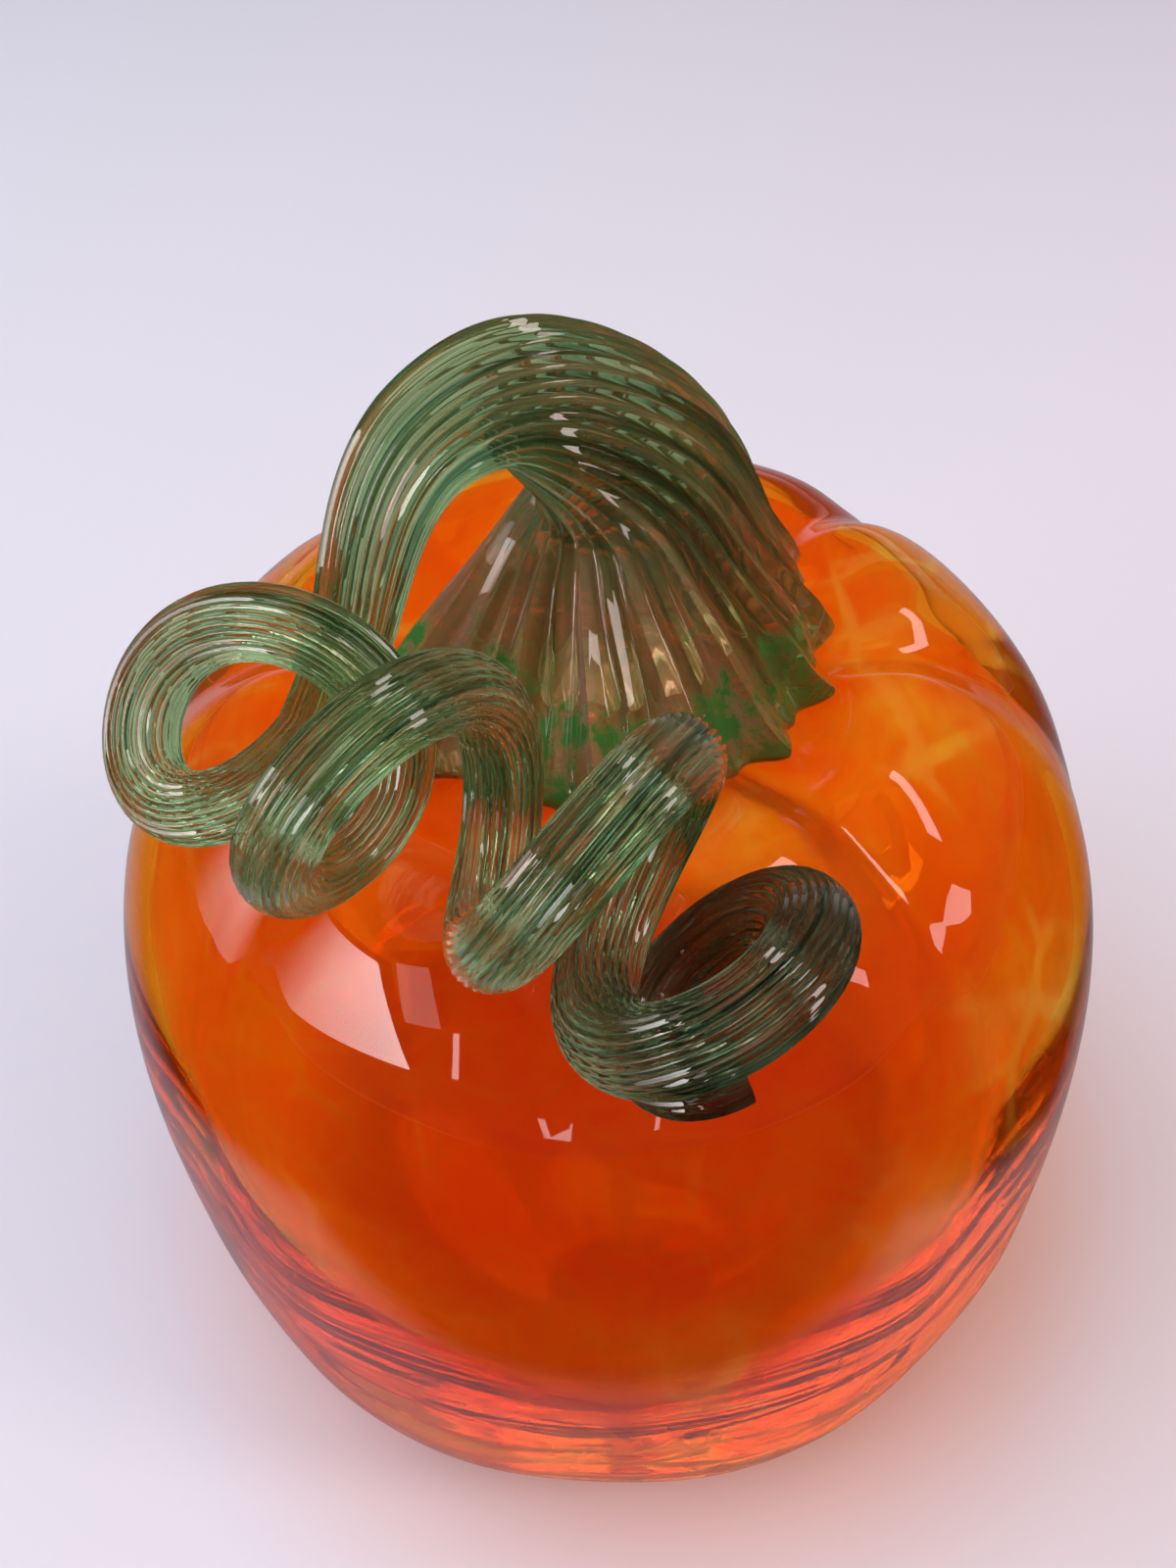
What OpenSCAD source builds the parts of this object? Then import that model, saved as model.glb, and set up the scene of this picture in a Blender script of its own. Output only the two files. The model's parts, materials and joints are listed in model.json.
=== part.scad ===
// A blown glass pumpkin with a lobed, hollow body.
// The ribbed stem is pulled from one gather of glass: a skirt spreads over the dimple and closes
// the neck, an arch leans over to the left, and a tendril curls above the front shoulder.
// Millimetres, +Z up, the front towards -Y. The origin is the middle of the flat base.

/* [Body] */
// Diameter over the lobes
body_d = 180; // [150:1:210]
// Height of the widest ring above the base
belly_h = 45; // [35:1:60]
// Rise from the widest ring to the crown of the dome
crown_h = 114; // [95:1:135]
// Diameter of the flat base
base_d = 90; // [60:1:110]
// Thickness of the blown wall
wall = 4; // [2.5:0.5:6]
// Number of lobes
lobes = 8; // [6:1:12]
// Depth of the grooves between the lobes on the belly
belly_groove = 1; // [0:0.5:4]
// Depth that the grooves grow to towards the crown
crown_groove = 7; // [2:0.5:9]
// Direction of the first groove, in degrees from +X
groove_turn = -5; // [-22:1:22]

/* [Dimple] */
// Depth of the flat seat under the crown of the dome
dimple_depth = 14; // [8:0.5:18]
// Diameter at which the shoulder starts to sink into the dimple
dimple_d = 116; // [96:1:124]
// Diameter of the flat seat that carries the stem
seat_d = 50; // [36:1:58]
// Diameter of the neck opening that the stem closes
neck_d = 20; // [12:1:28]

/* [Skirt and arch] */
// Diameter of the skirt over the tips of its hem
hem_d = 76; // [64:1:86]
// How far the hem still reaches past the seat where it is tucked in, at the back left
tuck_reach = 2.7; // [1:0.1:8]
// Thickness of the hem
hem_t = 2; // [1:0.5:4]
// Depth of the scallops along the hem
scallop = 3.5; // [1:0.5:5]
// Height of the throat, where the skirt becomes the arch, above the seat
throat_h = 33; // [26:1:42]
// Diameter of the throat
throat_d = 32; // [26:1:40]
// Height of the arch's centre line above the seat
arch_h = 55; // [48:1:66]
// Number of ribs around the stem
ribs = 16; // [12:1:20]
// Depth of the furrows between the ribs at the throat
throat_furrow = 2; // [0.5:0.1:3]
// Turn of the ribs from the hem to the throat, in degrees
skirt_twist = -34; // [-60:1:60]
// Turn of the ribs from the throat to the tip, in degrees
rib_twist = -230; // [-300:5:300]

/* [Curl] */
// Diameter of the tendril over its ribs
tendril_d = 10.6; // [8:0.1:11.6]
// Depth of the furrows between the ribs of the tendril
tendril_furrow = 0.8; // [0.3:0.1:1.2]
// Number of turns in the curl
curl_turns = 4.6; // [2:0.1:4.6]

/* [Fit] */
// Gap between the underside of the skirt and the dimple
drape_gap = 0.4; // [0.2:0.1:0.8]
// Gap around the stem's plug in the neck
plug_gap = 0.3; // [0.2:0.1:0.6]

/* [Hidden] */

body_r = body_d / 2;
base_r = base_d / 2;
dimple_r = dimple_d / 2;
seat_r = seat_d / 2;
neck_r = neck_d / 2;
hem_r = hem_d / 2;
throat_r = throat_d / 2;
tendril_r = tendril_d / 2;
tuck = hem_r - seat_r - tuck_reach;
seat_z = belly_h + crown_h - dimple_depth;

// Roundness of the profiles: 1 is an ellipse, less is fuller
dome_power = 0.655;
foot_power = 0.8;
// How narrow the grooves are against the lobes
groove_sharpness = 3;
// How close to the crown the grooves stay deep
groove_gather = 6;

// Hollowness of the skirt's flare and of the arch's taper: 1 is a straight cone
flare_power = 1.12;
taper_power = 1.5;
// Lean of the throat from the body's axis, and the place of the arch's top
throat_lean = [7.5, 0.5];
arch_top = [-11, -8];
// Reach of the arch's handles: above the throat, on both sides of the top, before the curl
throat_handle = 9;
top_handle_right = [4, 2, 0];
top_handle_left = [-22, -6, 0];
curl_handle = 18;
// Swell of the skirt to one side halfway up
skirt_bow = [2, 1, 0];
// Direction of the tuck, and how far it spreads to both sides, in degrees
tuck_turn = 108;
tuck_spread = 112;

// One row for each turn of the curl: its direction on the body, its rise on the dome in degrees,
// its height over the glass, its radius, and the direction and rise of its axis in degrees
turn_rows = [
    [-148, 66, 14, 16, -110, 58],
    [-123, 66, 23, 13, -37, 7],
    [-98, 66, 21, 15, -17, -17],
    [-83, 58, 27, 14, -27, -43],
    [-81, 53, 12, 9, -25, -51]
];
// Angle at which a turn passes its row
row_angle = 162;

// Counts of rings and sides
lobe_sides = 9;
foot_rings = 7;
dome_rings = 13;
dimple_rings = 7;
skirt_rings = 10;
arch_rings = 8;
turn_rings = 24;

body_sides = lobes * lobe_sides;
stem_sides = 2 * ribs;

// Small helpers
function unit(v) = v / norm(v);
function mix(a, b, share) = a + (b - a) * share;
function bezier(p, s) =
    pow(1 - s, 3) * p[0] + 3 * pow(1 - s, 2) * s * p[1] + 3 * (1 - s) * s * s * p[2] + pow(s, 3) * p[3];

// Radius and height on the dome at a rise angle: 0 at the widest ring, 90 at the crown
function dome_point(rise) =
    [body_r * pow(cos(rise), dome_power), belly_h + crown_h * pow(sin(rise), dome_power)];
function dome_rise(r) = acos(pow(r / body_r, 1 / dome_power));
function dome_normal(rise) =
    unit([pow(cos(rise), 2 - dome_power) / body_r, pow(sin(rise), 2 - dome_power) / crown_h]);

// How far the dome is pressed in at a radius: 1 on the seat, 0 outside the dimple
function press(r) =
    r <= seat_r ? 1 : r >= dimple_r ? 0 : (1 + cos(180 * (r - seat_r) / (dimple_r - seat_r))) / 2;
function top_z(r) = mix(dome_point(dome_rise(r))[1], seat_z, press(r));

// Depth of the grooves on the dome at a rise angle
function dome_groove(rise) = mix(belly_groove, crown_groove, pow(sin(rise), groove_gather));

// Body: rows of radius, height and groove depth, from the edge of the base to the edge of the seat
foot_rows = [
    for (i = [0 : foot_rings - 1])
        let (fall = 90 * (1 - i / foot_rings))
        [
            mix(base_r, body_r, pow(cos(fall), foot_power)),
            belly_h * (1 - pow(sin(fall), foot_power)),
            belly_groove * cos(fall)
        ]
];
dome_rows = [
    for (i = [0 : dome_rings - 1])
        let (rise = dome_rise(dimple_r) * i / dome_rings, p = dome_point(rise))
        [p[0], p[1], dome_groove(rise)]
];
dimple_rows = [
    for (i = [0 : dimple_rings])
        let (r = mix(dimple_r, seat_r, i / dimple_rings))
        [r, top_z(r), dome_groove(dome_rise(r)) * (1 - press(r))]
];
skin_rows = concat(foot_rows, dome_rows, dimple_rows);
last_row = len(skin_rows) - 1;

// Outward direction of the skin at a row, as radius and height
function skin_normal(i) =
    i == 0 ? [0, -1] : i == last_row ? [0, 1] :
    let (step = skin_rows[i + 1] - skin_rows[i - 1])
    unit([step[1], -step[0]]);
function groove(turn) = pow(pow(cos(lobes * (turn - groove_turn) / 2), 2), groove_sharpness / 2);

// A ring of the skin, sunk by a depth and by the grooves
function skin_ring(i, depth) =
    let (row = skin_rows[i], out = skin_normal(i))
    [
        for (k = [0 : body_sides - 1])
            let (
                turn = groove_turn + 360 * k / body_sides,
                sink = depth + row[2] * groove(turn),
                r = row[0] - sink * out[0],
                z = row[1] - sink * out[1]
            )
            [r * cos(turn), r * sin(turn), z]
    ];
function flat_ring(r, z, sides, start = 0) = [
    for (k = [0 : sides - 1])
        let (turn = start + 360 * k / sides)
        [r * cos(turn), r * sin(turn), z]
];

// A closed solid through rings of equal sides, with a flat fan over each end
module ring_solid(rings) {
    sides = len(rings[0]);
    last = (len(rings) - 1) * sides;
    points = [for (ring = rings) each ring];
    faces = concat(
        [
            for (i = [0 : len(rings) - 2], k = [0 : sides - 1])
                let (a = i * sides + k, b = i * sides + (k + 1) % sides)
                each [[a, a + sides, b], [b, a + sides, b + sides]]
        ],
        [for (k = [1 : sides - 2]) [0, k, k + 1]],
        [for (k = [1 : sides - 2]) [last, last + k + 1, last + k]]
    );
    polyhedron(points = points, faces = faces, convexity = 10);
}

module body() {
    outer = [for (i = [0 : last_row]) skin_ring(i, 0)];
    neck = [for (z = [seat_z, seat_z - wall]) flat_ring(neck_r, z, body_sides, groove_turn)];
    inner = [for (i = [last_row : -1 : 0]) skin_ring(i, wall)];
    color([0.80, 0.32, 0.05, 0.8]) ring_solid(concat(outer, neck, inner));
}

// Curl: the rows are blended smoothly from turn to turn, and go straight on past both ends
function turn_row(i) =
    let (n = len(turn_rows) - 1)
    i < 0 ? turn_rows[0] + (turn_rows[0] - turn_rows[1]) * -i :
    i > n ? turn_rows[n] + (turn_rows[n] - turn_rows[n - 1]) * (i - n) : turn_rows[i];
function blended_row(u) =
    let (
        i = max(0, min(floor(u), len(turn_rows) - 2)),
        f = u - i,
        a = turn_row(i - 1),
        b = turn_row(i),
        c = turn_row(i + 1),
        d = turn_row(i + 2)
    )
    b + f * (c - a) / 2 + f * f * (2 * a - 5 * b + 4 * c - d) / 2 + f * f * f * (3 * b - a - 3 * c + d) / 2;
function curl_point(angle) =
    let (
        row = blended_row((angle - row_angle) / 360),
        spot = dome_point(row[1]) + row[2] * dome_normal(row[1]),
        centre = [spot[0] * cos(row[0]), spot[0] * sin(row[0]), spot[1]],
        way = [cos(row[5]) * cos(row[4]), cos(row[5]) * sin(row[4]), sin(row[5])],
        side = [-sin(row[4]), cos(row[4]), 0]
    )
    centre + row[3] * (cos(angle) * side - sin(angle) * cross(way, side));

curl_steps = round(curl_turns * turn_rings);
curl_path = [for (i = [0 : curl_steps]) curl_point(360 * i / turn_rings)];

// Arch: two smooth spans, from the throat to the top and on to the start of the curl
throat = [throat_lean[0], throat_lean[1], seat_z + throat_h];
top = [arch_top[0], arch_top[1], seat_z + arch_h];
rise_span = [throat, throat + [0, 0, throat_handle], top + top_handle_right, top];
fall_span = [
    top,
    top + top_handle_left,
    curl_path[0] - curl_handle * unit(curl_path[1] - curl_path[0]),
    curl_path[0]
];
arch_path = concat(
    [for (i = [0 : arch_rings - 1]) bezier(rise_span, i / arch_rings)],
    [for (i = [0 : arch_rings - 1]) bezier(fall_span, i / arch_rings)]
);

// Skirt: its centre line leans over from the body's axis to the throat
hem_z = top_z(hem_r) + drape_gap;
skirt_low = hem_z + hem_t;
skirt_path = [
    for (i = [0 : skirt_rings - 1])
        let (share = i / skirt_rings)
        [throat[0] * share, throat[1] * share, mix(skirt_low, throat[2], share)]
];

path = concat(skirt_path, arch_path, curl_path);
path_end = len(path) - 1;
arch_first = skirt_rings;
curl_first = arch_first + 2 * arch_rings;

// Direction of the path at a point, and the frames that follow it without rolling: the skirt's rings
// stay level, so that its hem keeps clear of them
function heading(i) =
    i <= arch_first ? [0, 0, 1] : unit(path[min(i + 1, path_end)] - path[i - 1]);
headings = [for (i = [0 : path_end]) heading(i)];
sides_way = [
    for (i = 0, s = [1, 0, 0]; i <= path_end;
        i = i + 1, s = i > path_end ? s : unit(s - (s * headings[i]) * headings[i]))
        s
];

// Radius over the ribs and depth of the furrows along the path
function ring_size(i) =
    i < arch_first ?
        let (share = i / skirt_rings)
        [mix(throat_r, hem_r, pow(1 - share, flare_power)), mix(scallop, throat_furrow, share)] :
    i < curl_first ?
        let (rest = pow(1 - (i - arch_first) / (curl_first - arch_first), taper_power))
        [mix(tendril_r, throat_r, rest), mix(tendril_furrow, throat_furrow, rest)] :
    [tendril_r, tendril_furrow];

// How much of the tuck a direction takes: all of it at the back left, none in front
function tuck_share(turn) =
    let (off = abs((turn - tuck_turn + 900) % 360 - 180))
    off < tuck_spread ? cos(90 * off / tuck_spread) : 0;

// Reach of a ribbed ring: every second point lies in a furrow, and furrows close up in the tuck
function rib_reach(k, turn, r, furrow, share) =
    let (tucked = tuck_share(turn) * (1 - share))
    r * (1 - tucked * tuck / hem_r) - (k % 2) * furrow * (1 - tucked);
function hem_reach(k, turn) = rib_reach(k, turn, hem_r, scallop, 0);

// A ring across the path: the skirt swells to one side and sinks with its hem into the dimple
function path_ring(i) =
    let (
        size = ring_size(i),
        share = min(i / skirt_rings, 1),
        twist = skirt_twist * share + rib_twist * max(i - arch_first, 0) / (path_end - arch_first),
        x_way = sides_way[i],
        y_way = cross(headings[i], x_way),
        centre = path[i] + skirt_bow * pow(sin(180 * share), 2)
    )
    [
        for (k = [0 : stem_sides - 1])
            let (
                turn = 360 * k / stem_sides + twist,
                reach = rib_reach(k, turn, size[0], size[1], share),
                drop = (top_z(hem_reach(k, turn)) - top_z(hem_r)) * pow(1 - share, 2)
            )
            centre + reach * (cos(turn) * x_way + sin(turn) * y_way) + [0, 0, drop]
    ];

// The underside: a plug in the neck, the flat that sits on the seat, and the drape up to the hem
plug_r = neck_r - plug_gap;
function draped_ring(out) = [
    for (k = [0 : stem_sides - 1])
        let (turn = 360 * k / stem_sides, reach = mix(seat_r, hem_reach(k, turn), out))
        [reach * cos(turn), reach * sin(turn), top_z(reach) + drape_gap]
];
under_rings = [
    flat_ring(plug_r, seat_z - wall, stem_sides),
    flat_ring(plug_r, seat_z, stem_sides),
    flat_ring(seat_r, seat_z, stem_sides),
    draped_ring(0.5),
    draped_ring(1)
];

module stem() {
    color([0.27, 0.36, 0.10, 0.9])
        ring_solid(concat(under_rings, [for (i = [0 : path_end]) path_ring(i)]));
}

// Least gaps, measured on the centre points of the curl
half_turn = turn_rings / 2;
self_gap = min([
    for (i = [0 : curl_steps - half_turn], j = [i + half_turn : curl_steps])
        norm(curl_path[i] - curl_path[j])
]) - tendril_d;
body_gap = min([
    for (p = curl_path, row = skin_rows)
        norm([norm([p[0], p[1]]), p[2]] - [row[0], row[1]])
]) - tendril_r;
echo(least_gap_of_the_tendril_to_itself = self_gap);
echo(least_gap_of_the_tendril_to_the_body = body_gap);

body();
stem();
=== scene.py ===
import json
import math

import bpy
from mathutils import Matrix, Vector, noise

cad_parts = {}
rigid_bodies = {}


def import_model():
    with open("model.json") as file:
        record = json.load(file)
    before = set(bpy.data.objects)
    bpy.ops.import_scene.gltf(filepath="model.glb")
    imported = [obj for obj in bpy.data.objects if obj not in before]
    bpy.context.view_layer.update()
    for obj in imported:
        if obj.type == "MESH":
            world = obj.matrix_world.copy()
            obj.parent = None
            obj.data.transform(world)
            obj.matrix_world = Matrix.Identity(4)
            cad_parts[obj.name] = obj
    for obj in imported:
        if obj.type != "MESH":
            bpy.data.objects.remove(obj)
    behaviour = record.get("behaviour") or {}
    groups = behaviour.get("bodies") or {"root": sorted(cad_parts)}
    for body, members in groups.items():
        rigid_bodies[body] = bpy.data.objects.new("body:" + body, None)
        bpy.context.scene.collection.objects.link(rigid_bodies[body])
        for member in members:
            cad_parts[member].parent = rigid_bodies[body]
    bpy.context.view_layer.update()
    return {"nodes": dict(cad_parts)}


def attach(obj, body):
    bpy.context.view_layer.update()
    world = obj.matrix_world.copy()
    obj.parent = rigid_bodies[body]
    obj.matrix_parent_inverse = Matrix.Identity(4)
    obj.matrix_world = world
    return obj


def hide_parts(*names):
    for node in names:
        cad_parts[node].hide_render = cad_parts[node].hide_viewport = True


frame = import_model()
mm = 0.001
print("frame loaded:", sorted(frame["nodes"]))


def linear(hexColour):  # sRGB hex to the linear colour that nodes and lamps take
    channels = [int(hexColour[i:i + 2], 16) / 255 for i in (0, 2, 4)]
    return [c / 12.92 if c <= 0.04045 else ((c + 0.055) / 1.055) ** 2.4 for c in channels] + [1]


def mix(a, b, share):
    return a + (b - a) * share


def addNode(tree, kind, inputs=None, **settings):
    node = tree.nodes.new(kind)
    for name, value in settings.items():
        setattr(node, name, value)
    for name, value in (inputs or {}).items():
        if isinstance(value, bpy.types.NodeSocket):
            tree.links.new(value, node.inputs[name])
        else:
            node.inputs[name].default_value = value
    return node


def setRamp(node, stops):  # colour stops as (place, hex)
    ramp = node.color_ramp
    stops = list(stops)
    while len(ramp.elements) < len(stops):
        ramp.elements.new(1)
    for element, (place, hexColour) in zip(ramp.elements, stops):
        element.position = place
        element.color = linear(hexColour)


def startMaterial(name):
    material = bpy.data.materials.new(name)
    material.use_nodes = True
    material.node_tree.nodes.clear()
    return material, material.node_tree


def cosD(angle):
    return math.cos(math.radians(angle))


def sinD(angle):
    return math.sin(math.radians(angle))


def deselectAll():
    if bpy.context.object and bpy.context.object.mode != "OBJECT":
        bpy.ops.object.mode_set(mode="OBJECT")
    bpy.ops.object.select_all(action="DESELECT")


# body: the CAD's profile with more rows, in millimetres
shell = {
    "width": 179.8,
    "bellyHeight": 45,
    "crownHeight": 114,
    "baseWidth": 90,
    "dimpleDepth": 14,
    "dimpleWidth": 116,
    "seatWidth": 50,
    "neckWidth": 20,
    "domePower": 0.655,
    "footPower": 0.8,
    "wall": 4,
    "baseWall": 9,  # the glass runs down while it is hot, so the foot is thick
    "thickFrom": 110,  # height below which the wall thickens
    "thickPower": 0.7,
    "lobes": 8,
    "grooveTurn": -5,
    "bellyGroove": 1,
    "crownGroove": 7,
    "innerGroove": 0.6,  # share of a groove that shows on the inside
    "grooveGather": 6,
    "grooveSharpness": 3,
    "crownSharpness": 8,
    "narrowFrom": 100,  # heights between which the grooves narrow
    "narrowTo": 145,
    "wrinkle": 0.4,  # folds that gather in the grooves on the shoulder
    "wrinkles": 56,
    "wrinkleSway": 90,  # degrees by which a fold wanders
    "wrinkleRadius": 50,  # the folds fade inside this radius
    "footRows": 16,
    "domeRows": 34,
    "dimpleRows": 20,
    "sides": 192,
    "wave": 0.35,  # hand-blown unevenness outside
    "innerWave": 0.3,
    "innerShift": (7, 3, 5),  # so that the inner waves differ from the outer ones
    "waveSize": 38,
    "waveFrom": 20,  # the waves fade below this height, so the base stays flat
    "mergeGap": 0.02,
    "smoothAngle": 50,
}
bodyR = shell["width"] / 2
dimpleR = shell["dimpleWidth"] / 2
seatR = shell["seatWidth"] / 2
seatZ = shell["bellyHeight"] + shell["crownHeight"] - shell["dimpleDepth"]


def domePoint(rise):  # radius and height on the dome, 0 at the widest ring, 90 at the crown
    power = shell["domePower"]
    return Vector((
        bodyR * cosD(rise) ** power,
        shell["bellyHeight"] + shell["crownHeight"] * sinD(rise) ** power,
    ))


def domeRise(r):
    return math.degrees(math.acos((r / bodyR) ** (1 / shell["domePower"])))


def domeNormal(rise):
    power = 2 - shell["domePower"]
    return Vector((cosD(rise) ** power / bodyR, sinD(rise) ** power / shell["crownHeight"])).normalized()


def pressed(r):  # 1 on the seat, 0 outside the dimple
    if r <= seatR:
        return 1
    if r >= dimpleR:
        return 0
    return (1 + cosD(180 * (r - seatR) / (dimpleR - seatR))) / 2


def topZ(r):
    return mix(domePoint(domeRise(r))[1], seatZ, pressed(r))


def domeGroove(rise):
    return mix(shell["bellyGroove"], shell["crownGroove"], sinD(rise) ** shell["grooveGather"])


def skinRows():  # radius, height and groove depth from the edge of the base to the seat
    rows = []
    for i in range(shell["footRows"]):
        fall = 90 * (1 - i / shell["footRows"])
        rows.append((
            mix(shell["baseWidth"] / 2, bodyR, max(cosD(fall), 0) ** shell["footPower"]),
            shell["bellyHeight"] * (1 - sinD(fall) ** shell["footPower"]),
            shell["bellyGroove"] * max(cosD(fall), 0),
        ))
    for i in range(shell["domeRows"]):
        rise = domeRise(dimpleR) * i / shell["domeRows"]
        rows.append((*domePoint(rise), domeGroove(rise)))
    for i in range(shell["dimpleRows"] + 1):
        r = mix(dimpleR, seatR, i / shell["dimpleRows"])
        rows.append((r, topZ(r), domeGroove(domeRise(r)) * (1 - pressed(r))))
    return rows


def groove(turn, high):  # 1 in a groove, 0 on a lobe, narrower towards the crown
    sharpness = mix(shell["grooveSharpness"], shell["crownSharpness"], high)
    return abs(cosD(shell["lobes"] * (turn - shell["grooveTurn"]) / 2)) ** sharpness


def makeBody():
    rows = skinRows()
    last = len(rows) - 1
    outer, inner = [(0, 0, (0, 0, 0))], []  # radius, height, and the groove's depth outwards and upwards
    for i, (r, z, depth) in enumerate(rows):
        before, after = rows[max(i - 1, 0)], rows[min(i + 1, last)]
        out = Vector((after[1] - before[1], before[0] - after[0])).normalized()
        if i == 0:
            out = Vector((0, -1))
        if i == last:
            out = Vector((0, 1))
        thick = mix(shell["baseWall"], shell["wall"], min(z / shell["thickFrom"], 1) ** shell["thickPower"])
        outer.append((r, z, (out[0] * depth, 0, out[1] * depth)))
        share = depth * shell["innerGroove"]
        innerPress = (out[0] * share, 1, out[1] * share)  # the 1 marks the inner wall
        inner.append((max(r - thick * out[0], 0), z - thick * out[1], innerPress))
    neckR = shell["neckWidth"] / 2
    neck = [(neckR, seatZ, (0, 0, 0)), (neckR, seatZ - shell["wall"], (0, 1, 0))]
    profile = outer + neck + inner[::-1] + [(0, inner[0][1], (0, 1, 0))]

    deselectAll()
    bpy.ops.mesh.primitive_plane_add(size=mm, location=(0, 0, 0))
    piece = bpy.context.object
    piece.name = piece.data.name = "blownBody"
    bpy.ops.object.mode_set(mode="EDIT")
    bpy.ops.mesh.select_all(action="SELECT")
    bpy.ops.mesh.merge(type="CENTER")
    place = (0, 0)
    for r, z, _ in profile[1:]:  # draw the section, wall and all, point by point
        bpy.ops.mesh.extrude_region_move(
            TRANSFORM_OT_translate={"value": ((r - place[0]) * mm, 0, (z - place[1]) * mm)})
        place = (r, z)
    bpy.ops.object.mode_set(mode="OBJECT")
    sink = piece.data.attributes.new("sink", "FLOAT_VECTOR", "POINT")
    for slot, (_, _, press) in zip(sink.data, profile):
        slot.vector = press
    bpy.ops.object.mode_set(mode="EDIT")
    bpy.ops.mesh.select_all(action="SELECT")
    bpy.ops.mesh.spin(steps=shell["sides"], angle=2 * math.pi, center=(0, 0, 0), axis=(0, 0, 1))
    bpy.ops.mesh.select_all(action="SELECT")
    bpy.ops.mesh.remove_doubles(threshold=shell["mergeGap"] * mm)
    bpy.ops.mesh.normals_make_consistent(inside=False)
    bpy.ops.object.mode_set(mode="OBJECT")
    # press the grooves in between the lobes and leave the blower's slight waves
    sink = piece.data.attributes["sink"]
    moves = [Vector(slot.vector) for slot in sink.data]
    outward = [vertex.normal.copy() for vertex in piece.data.vertices]
    for vertex, move, normal in zip(piece.data.vertices, moves, outward):
        co = vertex.co
        r = math.hypot(co.x, co.y)
        if r < mm:  # the two poles stay
            continue
        turn = math.degrees(math.atan2(co.y, co.x))
        high = (co.z / mm - shell["narrowFrom"]) / (shell["narrowTo"] - shell["narrowFrom"])
        high = min(max(high, 0), 1)
        deep = groove(turn, high) * mm
        out = Vector((co.x / r, co.y / r, 0))
        spot = co / (shell["waveSize"] * mm)
        if move.y > 0.5:  # the inner wall runs thick and thin
            wave = shell["innerWave"] * noise.noise(spot + Vector(shell["innerShift"]))
        else:
            wave = -shell["wave"] * (noise.noise(spot) + 1) / 2 * min(co.z / (shell["waveFrom"] * mm), 1)
            sway = shell["wrinkleSway"] * noise.noise(2 * spot)
            fold = (1 + sinD(shell["wrinkles"] * turn + sway)) / 2
            gathered = shell["wrinkle"] * fold * groove(turn, 1) ** 2 * high
            wave -= gathered * min(r / (shell["wrinkleRadius"] * mm), 1)
        vertex.co = co - deep * (move.x * out + Vector((0, 0, move.z))) + normal * wave * mm
    piece.data.attributes.remove(piece.data.attributes["sink"])
    bpy.ops.object.shade_smooth_by_angle(angle=math.radians(shell["smoothAngle"]))
    return piece


# stem: one ribbed rod, drawn as a curve along the CAD's path
stem = {
    "hemWidth": 76,
    "hemThick": 2,
    "hemUnder": 0.975,  # share of the radius where the hem meets the body
    "hemEdge": ((0.995, 0.5), (1, 1.2)),  # share of the radius and height of its rounded edge
    "throatHeight": 33,
    "throatWidth": 32,
    "throatLean": (7.5, 0.5),
    "skirtBow": (2, 1),
    "tuck": 0.27,  # share of the radius
    "tuckTurn": 108,
    "tuckSpread": 112,
    "skirtFrom": 7,  # ring at the hem
    "archTop": (-11, -8),
    "archHeight": 54.8,
    "throatHandle": 9,
    "topHandleRight": (4, 2, 0),
    "topHandleLeft": (-22, -6, 0),
    "curlHandle": 18,
    "flarePower": 1.12,
    "throatBlend": 40,  # passes of smoothing
    "taperPower": 1.5,
    "tendrilWidth": 10.3,
    "curlTurns": 4.6,
    "rowAngle": 162,
    "tips": 16,
    "ribTwist": -230,
    "skirtTwist": -34,  # from the hem to the throat
    "scallop": 0.095,  # depth of the scallops between the hem's tips, as a share of the radius
    "scallopPower": 1.2,  # how fast they fade up the skirt
    "hemFurrow": 0.06,  # depths of the furrows between the ribs, two ribs to a tip, as shares too
    "throatFurrow": 0.12,
    "tendrilFurrow": 0.06,
    "ribSharpness": 1.4,
    "lobe": 3.5,  # round lobes along the hem, with narrow notches
    "drapeGap": 0.4,
    "drapeShare": 0.5,  # how far from the seat to the hem the underside has its middle ring
    "fuse": 0.6,  # the hot stem sinks this far into the body where they touch
    "plugGap": 0.4,
    "plugLip": 0.05,
    "skirtRings": 26,
    "archRings": 38,
    "turnRings": 56,
    "tipSides": 12,
    "seamRings": 5,  # the first rings lie in the neck and on the body
    "drapeFrom": 3,  # ring outside the seat, from which the skirt is shaped
    "flowFrom": 16,  # rings between which the ribs are smoothed along their length
    "flowTo": 80,
    "flowFade": 36,  # the last of them, less and less
    "flow": 40,  # passes
    "rodR": 10,  # radius of the straight rod that the streaks are drawn on
    "mergeGap": 0.005,
    "smoothAngle": 60,
}
throatRing = stem["skirtFrom"] + stem["skirtRings"]
# each turn: direction and rise on the dome, height over the glass, radius, direction and rise of its axis
turnRows = [Vector(row) for row in (
    (-148, 66, 14, 16, -110, 58),
    (-123, 66, 23, 13, -37, 7),
    (-98, 66, 21, 15, -17, -17),
    (-83, 58, 27, 14, -27, -43),
    (-81, 53, 12, 9, -25, -51),
)]


def turnRow(i):
    n = len(turnRows) - 1
    if i < 0:
        return turnRows[0] - (turnRows[1] - turnRows[0]) * -i
    if i > n:
        return turnRows[n] + (turnRows[n] - turnRows[n - 1]) * (i - n)
    return turnRows[i]


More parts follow.
